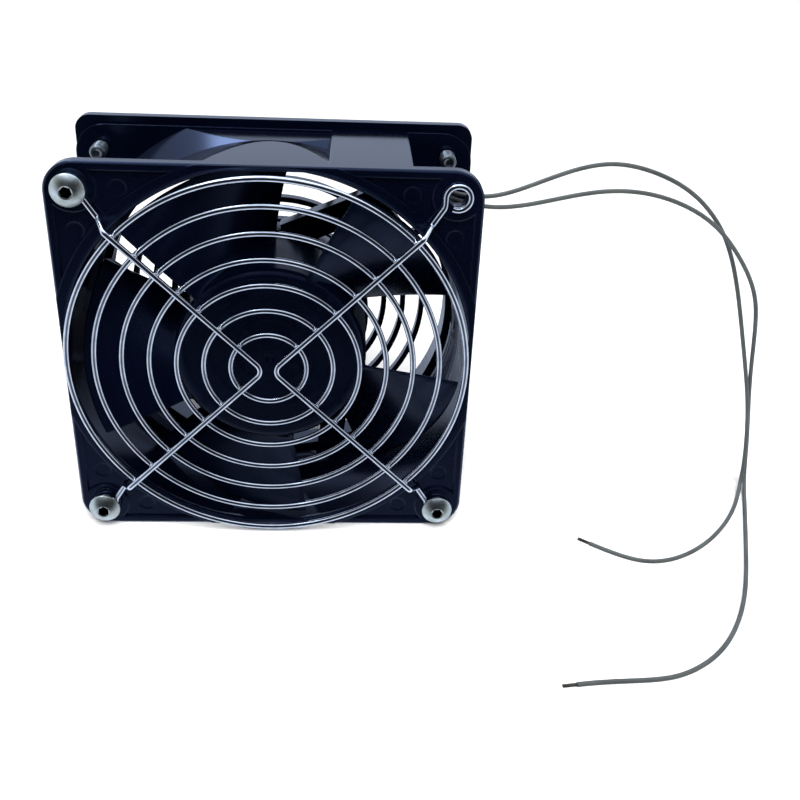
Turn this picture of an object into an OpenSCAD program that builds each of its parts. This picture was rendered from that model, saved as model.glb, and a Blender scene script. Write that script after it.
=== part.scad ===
// Axial cooling fan: moulded square frame, five-blade rotor on a shaded-pole motor,
// wire finger guard in front, ringed grille plate behind, two loose leads.
// Front view: X right, Z up, the guard faces -Y, and the fan stands on z = 0.

/* [Frame] */
// Width and height of the square flanges
frame_w = 120; // [108:1:136]
// Depth of the frame from the front face to the rear face
frame_d = 38; // [37:0.5:46]
// Thickness of the front flange
front_flange_t = 3.5; // [2.5:0.1:4.5]
// Chamfer round the front edge of the front flange
front_chamfer = 0.6; // [0.2:0.1:1]
// Thickness of the rear flange
rear_flange_t = 1.6; // [1.2:0.1:3]
// Corner radius of the flanges
corner_r = 9; // [6:0.5:11]
// Distance of the corner holes from the edges
hole_edge = 7.5; // [6.5:0.1:9]
// Diameter of the corner holes
hole_d = 5.4; // [5.1:0.1:6]
// Width of the raised rim round the front face
rim_w = 2.4; // [1.5:0.1:4]
// Depth of the sunk corner fields of the front face
field_depth = 0.8; // [0.3:0.1:1.5]
// Radius of the raised land round each corner hole
land_r = 7; // [6:0.5:8]
// Radius of the round ejector marks in the corner fields
mark_r = 2.4; // [1.5:0.1:3]

/* [Duct] */
// Least wall between the duct bore and the edges of the flanges
duct_edge = 3; // [2.4:0.1:4]
// Rim that is left where the flared duct meets the straight sides
inlet_rim = 1.5; // [1:0.1:2.4]
// Step from the barrel up to the end of the bell
bell_step = 1.1; // [0.6:0.1:1.6]
// How far the bell widens towards the front, before the flats cut it
bell_flare = 2.6; // [1.6:0.1:4]
// Depth at which the bell ends
bell_end = 25; // [20:0.5:28]
// Wall of the barrel behind the bell
barrel_wall = 1.7; // [1.4:0.1:2.2]

/* [Lead box] */
// Width of the box
box_w = 23; // [20:0.5:26]
// Distance of the box's right wall from the frame's right side
box_in = 20; // [18:0.5:22]
// Wall of the box
box_wall = 1.8; // [1.4:0.1:2.4]
// Gap between the grommet's flange and the bell below it
grommet_gap = 0.5; // [0.3:0.1:2]
// Depth of the grommet behind the front face
grommet_depth = 9; // [8:0.5:14]
// Radius of the grommet's neck
grommet_r = 2.4; // [2.2:0.1:2.6]

/* [Motor base] */
// Number of struts
strut_count = 3; // [3:1:4]
// Width of a strut
strut_w = 8.5; // [5:0.5:9]
// Distance of a strut's middle line from the fan's axis
strut_offset = 23; // [20:0.5:25]
// Slope of the strut that reaches the lead box
strut_angle = 23.6; // [20:0.1:28]
// Depth of a strut, front to back
strut_t = 5; // [4:0.5:7]
// How far the motor base stands out beyond the hub
base_over = 1; // [0.5:0.1:2]
// Thickness of the motor base
base_t = 3.5; // [2.5:0.5:4.5]
// Wall of the boss that holds the bearing tube
boss_wall = 3; // [2:0.5:4]
// Length of the boss
boss_l = 8.5; // [6:0.5:9]

/* [Rear grille] */
// Thickness of the grille plate
grille_t = 3; // [2:0.5:4]
// How far the plate stands above the flanges
grille_rise = 2.3; // [0:0.1:4]
// Corner radius of the plate
grille_corner_r = 4.5; // [3:0.5:8]
// How far the plate's edge covers the duct
grille_lip = 1.8; // [1.5:0.1:3]
// Radius of the plain disc in the middle
grille_disc_r = 28.4; // [27:0.1:30]
// Radius of the innermost ring bar
grille_ring_r = 35; // [34:0.1:36]
// Step from ring bar to ring bar
grille_pitch = 6.4; // [5.5:0.1:6.5]
// Number of ring bars
grille_rings = 3; // [2:1:3]
// Width of a ring bar
grille_bar = 1.7; // [1.2:0.1:2.2]
// Width of a spoke
grille_spoke = 2.1; // [1.6:0.1:5]
// Angle of the first of the four spokes
grille_spoke_a = 29; // [0:1:89]
// How far the ring bars stand behind the frame
grille_set = 5.6; // [4:0.1:7]
// Depth of the ring bars and spokes
grille_grid_t = 3; // [2:0.1:4]
// Wall of the collar that carries the ring bars
grille_collar = 2; // [1.5:0.1:3]

/* [Guard] */
// Wire diameter
wire_d = 1.7; // [1.6:0.1:2.2]
// Number of rings
guard_rings_n = 7; // [5:1:7]
// How far the outer ring lies outside the duct bore, to the middle of the wire
guard_over = 0.8; // [-1:0.1:1.5]
// Step from ring to ring
guard_pitch = 7.8; // [7:0.1:8]
// Distance of the rings in front of the front face
guard_stand = 4; // [3.4:0.1:6]
// Distance of each support's bend from the fan's axis
guard_apex = 2.4; // [1.6:0.1:4]
// Inner radius of the hook loops
loop_in_r = 2.6; // [2.55:0.05:3]

/* [Screws] */
// Diameter of the screws
screw_d = 4.9; // [4.7:0.05:5]
// Diameter of the button heads
head_d = 9.6; // [9.2:0.1:10.5]
// Height of the button heads
head_h = 2.7; // [2.2:0.1:3]
// Width across the flats of the hex sockets
socket_af = 3; // [2.5:0.5:3]
// Depth of the hex sockets
socket_depth = 1.7; // [1.2:0.1:1.8]
// Length of the front screws under the head
front_screw_l = 12; // [11:1:14]
// Length of the rear screws under the head
rear_screw_l = 10; // [8:1:12]
// Width across the flats of the nuts
nut_af = 8; // [7.5:0.5:8.5]
// Thickness of the nuts
nut_t = 4; // [3:0.5:4.5]

/* [Impeller] */
// Number of blades
blade_count = 5; // [4:1:5]
// Gap between the blade tips and the duct
tip_gap = 1.6; // [1.2:0.1:3]
// Depth of a blade's front edge at the hub, behind the front face
blade_front = 3; // [2.6:0.1:4.5]
// How far a blade leans forward from hub to tip
blade_rake = 0.6; // [0:0.1:1.2]
// Depth of a blade along the axis, at the hub
blade_l = 24.2; // [20:0.1:24.4]
// How much shallower a blade is at the tip
blade_taper = 3.7; // [0:0.1:6]
// Angle that a blade covers at the hub, seen from the front
blade_sweep = 47.8; // [40:0.1:50]
// Extra angle that it covers at the tip
blade_spread = 3.4; // [0:0.1:6]
// Angle of the first blade's front edge
blade_start = 66.2; // [0:0.1:72]
// Thickness of a blade in the middle
blade_t = 2; // [1.4:0.1:2.6]
// How far a blade bows forward of a straight helix
blade_camber = 2.2; // [0:0.1:3]
// Outer radius of the hub
hub_r = 28.5; // [28:0.1:29]
// Set-back of the hub face behind the front face
hub_front = 1.5; // [1:0.1:2.5]
// Length of the hub
hub_l = 26; // [25:0.5:28]
// Wall of the hub
hub_wall = 2.2; // [1.6:0.1:2.6]
// Thickness of the hub face
hub_face = 2.2; // [1.6:0.1:2.6]
// Rounding of the hub's front edge
hub_round = 3; // [1:0.1:4]
// Radius of the dimple in the hub face
dimple_r = 1.2; // [0.8:0.1:3]
// Depth of the dimple
dimple_depth = 0.7; // [0.3:0.1:1.2]

/* [Motor] */
// Wall of the rotor cup
cup_t = 1.2; // [0.8:0.1:1.6]
// Radial thickness of the rotor cage
cage_t = 3.2; // [2.4:0.1:3.6]
// Air gap between the stator and the cage
air_gap = 0.45; // [0.35:0.05:0.8]
// Thickness of the lamination stack
stack_t = 12; // [10:0.5:13]
// Width of a pole's neck
pole_neck = 8; // [6:0.5:9]
// Radial thickness of a pole shoe
pole_shoe_t = 2.6; // [2:0.1:3.2]
// Angle covered by a pole shoe
pole_angle = 76; // [70:1:80]
// Radial thickness of the core round the bearing tube
core_hub_t = 3.4; // [2.5:0.1:4]
// Build of a coil beside its pole
coil_t = 3; // [2:0.1:3.2]
// Overhang of a coil in front of and behind the stack
coil_over = 3; // [2:0.1:3.2]
// Thickness of the insulators
insulator_t = 0.8; // [0.5:0.1:1]
// Shaft diameter
shaft_d = 5; // [4:0.5:5]
// Outside diameter of the bearing tube
tube_od = 12; // [11:0.5:13]
// Inside diameter of the bearing tube
tube_id = 9.2; // [8.5:0.1:9.6]
// Length of a bush
bush_l = 8; // [6:0.5:9]
// Thickness of the thrust washers
washer_t = 0.6; // [0.4:0.1:1]
// Thickness of the retaining clip
clip_t = 0.6; // [0.4:0.1:1]

/* [Leads] */
// Outer diameter of a lead
lead_d = 1.3; // [1.1:0.1:1.4]
// Diameter of a stripped tip
tip_d = 0.8; // [0.5:0.1:1]
// Length of a stripped tip
tip_l = 4; // [2:0.5:6]

/* [Clearances] */
// Clearance between pieces that are pushed together
fit_gap = 0.02; // [0.01:0.01:0.05]
// Radial running clearance of the shaft in its bushes
run_gap = 0.03; // [0.02:0.01:0.08]
// End play of the rotor
end_play = 0.3; // [0.2:0.05:0.5]
// Gap between the wires where they are welded
weld_gap = 0.05; // [0.02:0.01:0.1]
// Gap between the coils and the rotor cup
coil_gap = 1.2; // [0.8:0.1:1.6]

/* [Hidden] */
$fn = 96;

// How far a cut runs past the face it opens
over = 1;
// How far solids that are joined run into each other
sink = 0.2;
half_w = frame_w / 2;
hole_xy = half_w - hole_edge;
duct_r = half_w - duct_edge;
guard_r = duct_r + guard_over;
grille_open_r = duct_r - grille_lip;
box_x1 = half_w - box_in;
box_x0 = box_x1 - box_w;
wire_r = wire_d / 2;
loop_r = loop_in_r + wire_r;
screw_r = screw_d / 2;
shaft_r = shaft_d / 2;
lead_r = lead_d / 2;

// Planes of the guard, measured forward of the front face
support_plane = guard_stand + wire_d + weld_gap;
loop_plane = wire_r + weld_gap;
head_plane = 2 * loop_plane;

// The whole depth, from the guard's supports to the rear grille, is centred on y = 0
front_most = support_plane + wire_r;
rear_most = frame_d + max(grille_t + head_h, grille_set + grille_grid_t);
front_y = -(rear_most - front_most) / 2;

// Rotor and stator stack, as depths behind the front face
cup_front = hub_front + hub_face;
cup_or = hub_r - hub_wall - fit_gap;
cage_or = cup_or - cup_t - fit_gap;
core_r = cage_or - cage_t - air_gap;
// Core radius that the tube's, poles' and coils' sizes are drawn for; they follow the core from there
drawn_core_r = 21.41;
motor_k = core_r / drawn_core_r;
neck_w = pole_neck * motor_k;
shoe_t = pole_shoe_t * motor_k;
coil_build = coil_t * motor_k;
coil_front = cup_front + cup_t + coil_gap;
stack_front = coil_front + coil_over + insulator_t;
stack_rear = stack_front + stack_t;
tube_or = tube_od / 2 * motor_k;
tube_ir = tube_id / 2 * motor_k;
tube_stand = 1;
tube_recess = 0.4;
bush_stand = 0.5;
bush_recess = 4;
tube_front = stack_front - tube_stand;
tube_rear = frame_d - tube_recess;
front_bush_d0 = tube_front - bush_stand;
rear_bush_d1 = tube_rear - bush_recess;
insert_end = front_bush_d0 - end_play - washer_t;
rear_washer_d0 = rear_bush_d1 + end_play;
clip_d0 = rear_washer_d0 + washer_t;
shaft_tail = 1.2;
groove_depth = 0.5;
washer_gap = 0.4;
insert_wall = 2.3;
shaft_end = clip_d0 + clip_t + shaft_tail;
groove_r = shaft_r - groove_depth;
washer_r = tube_ir - washer_gap;
insert_r = shaft_r + insert_wall;

// Lead routes: X, depth behind the front face, Z, from the grommet to the stripped tip
lead_a_route = [
    [44, 9, 111.4], [49, 9, 111.4], [55, 8, 110.4], [61, 6.5, 109.8], [67, 6, 111.6],
    [74, 6, 114.7], [81, 7, 117.5], [88, 8, 119.8], [94, 8, 121], [99, 9, 120.8],
    [106, 9, 119.8], [114, 10, 116.5], [121, 11, 113], [127, 12, 107.8], [132, 13, 102],
    [135, 13, 97.8], [138.5, 13, 90.8], [142, 13, 81.2], [145.5, 14, 70.5], [150.5, 16, 54.5],
    [155, 17, 41.8], [158, 19, 30], [160.5, 21, 18], [162, 22, 10], [162, 22, 4.5],
    [160.7, 19, 1.4], [158.8, 14.5, 0.65], [155, 7.5, 0.65], [148, -2.3, 0.65], [140, -9.8, 0.65],
    [133, -14.8, 0.65], [126, -18, 0.65], [120, -19, 0.65], [115, -18.2, 0.65], [110.5, -15.9, 0.65],
    [105.7, -13, 0.65], [101.5, -9.8, 0.65]];
lead_b_route = [
    [44, 9, 109.8], [49, 9, 109.8], [55, 8, 108.3], [61, 6.5, 107.1], [67, 6, 107.6],
    [74, 6, 108.7], [81, 6, 110.7], [88.5, 6, 112.6], [95, 6, 113.7], [101, 7, 113.4],
    [108, 7, 113.1], [115, 7, 111], [123, 8, 107.8], [130.5, 8, 102.8], [135, 9, 97.4],
    [140.5, 10, 91], [144.5, 10, 85], [147.5, 10, 78.5], [149.5, 12, 71.5], [151.5, 14, 61.5],
    [154, 17, 49], [157, 20, 37], [160.5, 22.5, 25], [163, 24.5, 13], [164, 25, 5.5],
    [163.5, 22, 1.6], [162, 17, 0.65], [158.4, 6, 0.65], [154.5, -4.5, 0.65], [151, -15, 0.65],
    [147, -26, 0.65], [143.5, -34.5, 0.65], [139, -43, 0.65], [133.5, -51, 0.65], [128, -57, 0.65],
    [121.5, -61.3, 0.65], [116, -64, 0.65], [111.5, -65.4, 0.65], [105, -66, 0.65], [98, -66, 0.65],
    [91, -66.4, 0.65], [85.5, -67.2, 0.65]];

// Draws in the front view (x right, y up, z forward, z = 0 on the front face) and stands it up
module stand() {
    translate([0, front_y, half_w]) rotate([90, 0, 0]) children();
}

// Moves a solid that starts at z = 0 to the given depth behind the front face, growing rearwards
module behind(depth, length) {
    translate([0, 0, -depth - length]) linear_extrude(length) children();
}

module rounded_rect(w, h, r) {
    square([w - 2 * r, h], center = true);
    square([w, h - 2 * r], center = true);
    for (sx = [-1, 1], sy = [-1, 1]) translate([sx * (w / 2 - r), sy * (h / 2 - r)]) circle(r);
}

module at_corners(corners) {
    for (c = corners) translate([c[0] * hole_xy, c[1] * hole_xy]) children();
}

four_corners = [[-1, 1], [1, 1], [-1, -1], [1, -1]];
screwed_corners = [[-1, 1], [-1, -1], [1, -1]];

// Ring with its axis along z, from one depth to another
module ring(r_out, r_in, d0, d1) {
    behind(d0, d1 - d0) difference() {
        circle(r_out);
        circle(r_in);
    }
}

// Part of a ring between two angles, from one depth to another
module ring_part(r_in, r_out, a0, a1, d0, d1) {
    rotate(a0) rotate_extrude(angle = a1 - a0) translate([r_in, -d1]) square([r_out - r_in, d1 - d0]);
}

// Functions for tubes that are swept along points
function unit(v) = v / norm(v);
function heading(p, i) =
    i == 0 ? unit(p[1] - p[0]) :
    i == len(p) - 1 ? unit(p[i] - p[i - 1]) :
    unit(unit(p[i] - p[i - 1]) + unit(p[i + 1] - p[i]));
function side_of(t, s) = unit(s - t * (s * t));
function sides_along(p, i, s) =
    i == len(p) ? [] :
    let (t = heading(p, i), n = side_of(t, s)) concat([[t, n]], sides_along(p, i + 1, n));

module tube_along(p, r, sides) {
    first = heading(p, 0);
    start = abs(first[2]) > 0.9 ? [1, 0, 0] : [0, 0, 1];
    frames = sides_along(p, 0, start);
    pts = [for (i = [0:len(p) - 1], k = [0:sides - 1])
        let (t = frames[i][0], n = frames[i][1], b = cross(t, n), a = (k + 0.5) * 360 / sides)
        p[i] + r * (cos(a) * n + sin(a) * b)];
    walls = [for (i = [0:len(p) - 2], k = [0:sides - 1])
        let (a = i * sides + k, b = i * sides + (k + 1) % sides)
        each [[a, b, b + sides], [a, b + sides, a + sides]]];
    ends = [[for (k = [sides - 1:-1:0]) k], [for (k = [0:sides - 1]) (len(p) - 1) * sides + k]];
    polyhedron(pts, [for (f = concat(ends, walls)) [for (j = [len(f) - 1:-1:0]) f[j]]], convexity = 8);
}

// Frame
barrel_or = duct_r + barrel_wall;
bell_rear_r = barrel_or + bell_step;
bell_front_r = bell_rear_r + bell_flare;
step_l = 1.5;
mark_step = 12.5;
mark_xy = [[hole_xy - mark_step, hole_xy], [hole_xy, hole_xy - mark_step]];
mark_depth = 0.15;
box_slope = 3.5;
box_slope_h = 12;
box_floor = sqrt(pow(duct_r - over, 2) - pow(box_x1, 2));
base_r = hub_r + base_over;
base_skirt_l = 7;
base_skirt_t = 1.6;
boss_r = tube_or + boss_wall;
channel_w = 2.6;
channel_depth = 2.2;

module corner_fields() {
    difference() {
        rounded_rect(frame_w - 2 * rim_w, frame_w - 2 * rim_w, corner_r - rim_w);
        circle(bell_front_r);
        at_corners(four_corners) circle(land_r);
    }
}

// Square plate with rounded corners and a chamfer round its front edge
module front_plate() {
    flat = frame_w - 2 * corner_r;
    for (a = [0, 90]) rotate(a) rotate([90, 0, 0]) linear_extrude(flat, center = true) polygon([
        [-half_w, -front_flange_t], [half_w, -front_flange_t], [half_w, -front_chamfer],
        [half_w - front_chamfer, 0], [front_chamfer - half_w, 0], [-half_w, -front_chamfer]]);
    for (c = four_corners) translate(c * flat / 2) rotate_extrude() polygon([
        [0, -front_flange_t], [corner_r, -front_flange_t], [corner_r, -front_chamfer],
        [corner_r - front_chamfer, 0], [0, 0]]);
}

module flanges() {
    difference() {
        front_plate();
        behind(-over, field_depth + over) corner_fields();
        behind(0, field_depth + mark_depth)
            for (m = mark_xy, sx = [-1, 1], sy = [-1, 1]) translate([sx * m[0], sy * m[1]]) circle(mark_r);
    }
    behind(frame_d - rear_flange_t, rear_flange_t) rounded_rect(frame_w, frame_w, corner_r);
}

module barrel() {
    intersection() {
        rotate_extrude() polygon([
            [0, -front_flange_t / 2], [bell_front_r, -front_flange_t / 2], [bell_front_r, -front_flange_t],
            [bell_rear_r, -bell_end], [barrel_or, -bell_end - step_l], [barrel_or, -frame_d], [0, -frame_d]]);
        behind(0, frame_d) square(frame_w, center = true);
    }
}

module duct_bore() {
    intersection() {
        rotate_extrude() polygon([
            [0, over], [bell_front_r - barrel_wall, over], [bell_front_r - barrel_wall, 0],
            [bell_rear_r - barrel_wall, -bell_end], [duct_r, -bell_end - step_l],
            [duct_r, -frame_d - over], [0, -frame_d - over]]);
        behind(-over, frame_d + 2 * over) square(frame_w - 2 * inlet_rim, center = true);
    }
}

module box_outline(wall) {
    polygon([[box_x0 - box_slope + wall, box_floor], [box_x0 - box_slope + wall, half_w - box_slope_h],
             [box_x0 + wall, half_w - wall], [box_x1 - wall, half_w - wall], [box_x1 - wall, box_floor]]);
}

module lead_box() {
    behind(front_flange_t / 2, frame_d - rear_flange_t / 2 - front_flange_t / 2) box_outline(0);
}

module lead_box_room() {
    difference() {
        behind(front_flange_t + box_wall, frame_d) box_outline(box_wall);
        barrel();
    }
}

module grommet_axis() {
    translate([box_x1, grommet_y, -grommet_depth]) rotate([0, 90, 0]) children();
}

module strut_line(width, from, to) {
    translate([from, strut_offset - width / 2]) square([to - from, width]);
}

module struts() {
    start = sqrt(pow(base_r - 3, 2) - pow(strut_offset, 2));
    behind(frame_d - strut_t, strut_t) intersection() {
        circle(duct_r + barrel_wall / 2);
        for (k = [0:strut_count - 1])
            rotate(strut_angle + k * 360 / strut_count) strut_line(strut_w, start, duct_r);
    }
}

module motor_base() {
    behind(frame_d - base_t, base_t) circle(base_r);
    ring(base_r, base_r - base_skirt_t, frame_d - base_skirt_l, frame_d);
    behind(frame_d - boss_l, boss_l) circle(boss_r);
}

module housing() {
    color("#12151f") stand() difference() {
        union() {
            difference() {
                union() {
                    flanges();
                    barrel();
                    lead_box();
                }
                duct_bore();
                lead_box_room();
            }
            struts();
            motor_base();
        }
        behind(frame_d - boss_l - over, boss_l + 2 * over) circle(tube_or + fit_gap);
        behind(frame_d - channel_depth, channel_depth + over) rotate(strut_angle)
            strut_line(channel_w, 0, duct_r);
        at_corners(four_corners) behind(-over, frame_d + 2 * over) circle(d = hole_d);
        grommet_axis() translate([0, 0, -box_wall - over])
            cylinder(r = grommet_r + fit_gap, h = box_wall + 2 * over);
    }
}

// Grille plate behind the frame, with its ring bars set back on a collar
grid_d0 = frame_d + grille_set;
grid_d1 = grid_d0 + grille_grid_t;

module grille_grid() {
    circle(grille_disc_r);
    for (i = [0:grille_rings - 1]) difference() {
        circle(grille_ring_r + i * grille_pitch + grille_bar / 2);
        circle(grille_ring_r + i * grille_pitch - grille_bar / 2);
    }
    for (k = [0:3]) rotate(grille_spoke_a + k * 90)
        translate([0, -grille_spoke / 2]) square([grille_open_r + grille_collar / 2, grille_spoke]);
}

module rear_grille() {
    color("#15171c") stand() {
        behind(frame_d, grille_t) difference() {
            translate([0, grille_rise / 2]) rounded_rect(frame_w, frame_w + grille_rise, grille_corner_r);
            circle(grille_open_r);
            at_corners(four_corners) circle(d = hole_d);
        }
        ring(grille_open_r + grille_collar, grille_open_r, frame_d, grid_d1);
        behind(grid_d0, grille_grid_t) grille_grid();
    }
}

// Finger guard
guard_bend_r = 3;
guard_sides = 12;
loop_steps = 20;
loop_from = -115;
loop_to = 180;
neck_l = 2.6;
kink_out = 0.8;
kink_run = 3.6;

function guard_half() =
    let (bend = [guard_apex + guard_bend_r, 0, support_plane],
         arm = bend + guard_bend_r * [cos(135), sin(135), 0],
         kink_r = guard_r + wire_d + kink_out,
         high = arm + (kink_r - norm([arm[0], arm[1]])) * [cos(45), sin(45), 0],
         low = [high[0] + kink_run * cos(45), high[1] + kink_run * sin(45), loop_plane])
    concat(
        [for (i = [0:loop_steps]) let (a = loop_from + i * (loop_to - loop_from) / loop_steps)
            [hole_xy + loop_r * cos(a), hole_xy + loop_r * sin(a), loop_plane]],
        [[hole_xy - loop_r, hole_xy - neck_l, loop_plane], low, high],
        [for (a = [135:15:180]) bend + guard_bend_r * [cos(a), sin(a), 0]]);

module guard_support() {
    upper = guard_half();
    lower = [for (i = [len(upper) - 2:-1:0]) [upper[i][0], -upper[i][1], upper[i][2]]];
    tube_along(concat(upper, lower), wire_r, guard_sides);
}

module guard_rings() {
    color("#d5d8dc") stand() for (i = [0:guard_rings_n - 1])
        rotate_extrude() translate([guard_r - i * guard_pitch, guard_stand]) circle(wire_r);
}

module guard_support_left() {
    color("#d5d8dc") stand() mirror([1, 0, 0]) guard_support();
}

module guard_support_right() {
    color("#d5d8dc") stand() guard_support();
}

// Screws and nuts
head_r = head_d / 2;
head_edge = 0.6;
screw_chamfer = 0.7;

// Button-head screw: the head stands above z = 0, the shank hangs below
module button_screw(length) {
    drop = head_h - head_edge;
    dome_r = (head_r * head_r + drop * drop) / (2 * drop);
    difference() {
        rotate_extrude() union() {
            intersection() {
                translate([0, head_h - dome_r]) circle(dome_r);
                square([head_r, head_h]);
            }
            polygon([[0, -length], [screw_r - screw_chamfer, -length], [screw_r, -length + screw_chamfer],
                     [screw_r, sink], [0, sink]]);
        }
        translate([0, 0, head_h - socket_depth])
            cylinder(d = socket_af / cos(30), h = socket_depth + over, $fn = 6);
    }
}

module front_screws() {
    color("#b9bdb6") stand() at_corners(screwed_corners)
        translate([0, 0, head_plane]) button_screw(front_screw_l);
}

module front_nuts() {
    color("#a9adb0") stand() at_corners(screwed_corners) behind(front_flange_t, nut_t) difference() {
        circle(d = nut_af / cos(30), $fn = 6);
        circle(screw_r + run_gap);
    }
}

module rear_screws() {
    color("#9a9d9e") stand() at_corners(four_corners)
        translate([0, 0, -frame_d - grille_t]) rotate([180, 0, 0]) button_screw(rear_screw_l);
}

// Leads
grommet_lip = 0.7;
grommet_flange_t = 1.2;
grommet_nose = 4;
grommet_nose_r = 1.9;
bell_at_grommet = bell_front_r - bell_flare * (grommet_depth - front_flange_t) / (bell_end - front_flange_t);
grommet_y = sqrt(pow(bell_at_grommet, 2) - pow(box_x1, 2)) + grommet_r + grommet_lip + grommet_gap;

module lead_grommet() {
    color("#2a2c30") stand() grommet_axis() rotate_extrude() polygon([
        [0, -box_wall], [grommet_r, -box_wall], [grommet_r, 0],
        [grommet_r + grommet_lip, 0], [grommet_r + grommet_lip, grommet_flange_t],
        [grommet_nose_r, grommet_nose], [0, grommet_nose]]);
}

// The routes are drawn from a grommet at this X and height, and follow it from there
drawn_box_x = 40;
drawn_grommet_z = 110.62;
rise_k = (half_w + grommet_y - lead_r) / (drawn_grommet_z - lead_r);
function lead_points(route) =
    [for (q = route) [q[0] + box_x1 - drawn_box_x, q[1] + front_y, lead_r + (q[2] - lead_r) * rise_k]];
lead_sides = 8;

module lead(route) {
    color("#74797c") tube_along(lead_points(route), lead_r, lead_sides);
}

module stripped_tip(route) {
    p = lead_points(route);
    last = p[len(p) - 1];
    tube_along([last, last + tip_l * heading(p, len(p) - 1)], tip_d / 2, lead_sides);
}

module lead_a() {
    lead(lead_a_route);
}

module lead_b() {
    lead(lead_b_route);
}

module lead_tips() {
    color("#4a443c") for (route = [lead_a_route, lead_b_route]) stripped_tip(route);
}

// Bearings
module bearing_tube() {
    color("#b8a678") stand() ring(tube_or, tube_ir, tube_front, tube_rear);
}

module front_bush() {
    color("#a9793f") stand()
        ring(tube_ir - fit_gap, shaft_r + run_gap, front_bush_d0, front_bush_d0 + bush_l);
}

module rear_bush() {
    color("#a9793f") stand() ring(tube_ir - fit_gap, shaft_r + run_gap, rear_bush_d1 - bush_l, rear_bush_d1);
}

module oil_felt() {
    color("#cbbfa4") stand() ring(tube_ir - fit_gap, shaft_r + end_play,
                                  front_bush_d0 + bush_l + fit_gap, rear_bush_d1 - bush_l - fit_gap);
}

// Stator
pole_count = 4;
core_hub_r = tube_or + core_hub_t * motor_k;
shade_start = pole_angle / 6;
shade_turn = 4;
shade_slack = 0.2;
shade_in = 1.8;
shade_out = 0.3;
shade_over = 0.9;
coil_clear = 0.6;
coil_corner_r = 2;

module at_poles() {
    for (k = [0:pole_count - 1]) rotate(45 + k * 360 / pole_count) children();
}

module pole_wedge(angle) {
    far = 2 * core_r;
    polygon([[0, 0], [far * cos(angle / 2), -far * sin(angle / 2)], [far, 0],
             [far * cos(angle / 2), far * sin(angle / 2)]]);
}

module pole_necks(length) {
    circle(core_hub_r);
    at_poles() translate([0, -neck_w / 2]) square([length, neck_w]);
}

module stator_core() {
    color("#6d7075") stand() difference() {
        behind(stack_front, stack_t) difference() {
            union() {
                pole_necks(core_r - shoe_t / 2);
                at_poles() intersection() {
                    difference() {
                        circle(core_r);
                        circle(core_r - shoe_t);
                    }
                    pole_wedge(pole_angle);
                }
            }
            circle(tube_or + fit_gap);
        }
        at_poles() ring_part(core_r - shade_in - fit_gap, core_r + over,
                             shade_start - shade_turn - shade_slack, shade_start + shade_slack,
                             stack_front - over, stack_rear + over);
    }
}

module stator_insulators() {
    color("#e6e0cf") stand() for (d0 = [stack_front - insulator_t, stack_rear])
        behind(d0, insulator_t) difference() {
            pole_necks(core_r - shoe_t);
            circle(tube_or + fit_gap);
        }
}

module stator_coils() {
    inner_w = neck_w + 2 * insulator_t;
    half = inner_w / 2 + coil_build;
    from = core_hub_r + coil_clear;
    to = sqrt(pow(core_r - shoe_t - coil_clear, 2) - pow(half, 2));
    inner_d = stack_t + 2 * insulator_t + 2 * fit_gap;
    middle = (stack_front + stack_rear) / 2;
    color("#9c5a2c") stand() at_poles() translate([from, 0, -middle]) rotate([90, 0, 90])
        linear_extrude(to - from) difference() {
            rounded_rect(2 * half, inner_d + 2 * coil_over, coil_corner_r);
            square([inner_w, inner_d], center = true);
        }
}

module shading_rings() {
    color("#b5713a") stand() at_poles() difference() {
        ring_part(core_r - shade_in, core_r - shade_out,
                  shade_start - shade_turn, pole_angle / 2 + shade_turn,
                  stack_front - shade_over, stack_rear + shade_over);
        ring_part(core_r - shade_in - over, core_r + over, shade_start, pole_angle / 2 + shade_slack,
                  stack_front - fit_gap, stack_rear + fit_gap);
    }
}

// Rotor
blade_tip_r = duct_r - tip_gap;
blade_root_r = hub_r - hub_wall / 2;
blade_lean = -2.1;
blade_stations = 6;
blade_steps = 8;
blade_edge = 0.4;

// One point of a blade: u runs from root to tip, v from front edge to rear edge, side is -1 or 1
function blade_point(u, v, side) =
    let (r = blade_root_r + u * (blade_tip_r - blade_root_r),
         sweep = blade_sweep + blade_spread * u,
         length = blade_l - blade_taper * u,
         turn = r * sweep * PI / 180,
         rise = length - blade_camber * PI * cos(180 * v),
         thick = blade_t / 2 * (blade_edge + (1 - blade_edge) * sin(180 * v)),
         n = [rise, turn] / norm([rise, turn]) * side * thick,
         angle = blade_lean * u - sweep * v + n[0] / r * 180 / PI,
         depth = blade_front - blade_rake * u + length * v - blade_camber * sin(180 * v) + n[1])
    [r * cos(angle), r * sin(angle), -depth];

function blade_section(u) = concat(
    [for (i = [0:blade_steps]) blade_point(u, i / blade_steps, -1)],
    [for (i = [blade_steps:-1:0]) blade_point(u, i / blade_steps, 1)]);

module blade() {
    m = 2 * (blade_steps + 1);
    top = (blade_stations - 1) * m;
    walls = [for (j = [0:blade_stations - 2], i = [0:m - 1])
        let (a = j * m + i, b = j * m + (i + 1) % m)
        each [[a, b + m, b], [a, a + m, b + m]]];
    root = [for (i = [0:blade_steps - 1]) each [[i, m - 2 - i, m - 1 - i], [i, i + 1, m - 2 - i]]];
    tip = [for (f = root) [top + f[2], top + f[1], top + f[0]]];
    polyhedron([for (j = [0:blade_stations - 1]) each blade_section(j / (blade_stations - 1))],
               concat(walls, root, tip), convexity = 4);
}

module hub() {
    rotate_extrude() difference() {
        union() {
            translate([0, -hub_front - hub_l]) square([hub_r, hub_l - hub_round]);
            translate([0, -hub_front - hub_l]) square([hub_r - hub_round, hub_l]);
            translate([hub_r - hub_round, -hub_front - hub_round]) circle(hub_round);
        }
        translate([0, -hub_front - hub_l - over]) square([hub_r - hub_wall, hub_l - hub_face + over]);
        translate([0, -hub_front - dimple_depth]) square([dimple_r, dimple_depth + over]);
    }
}

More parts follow.
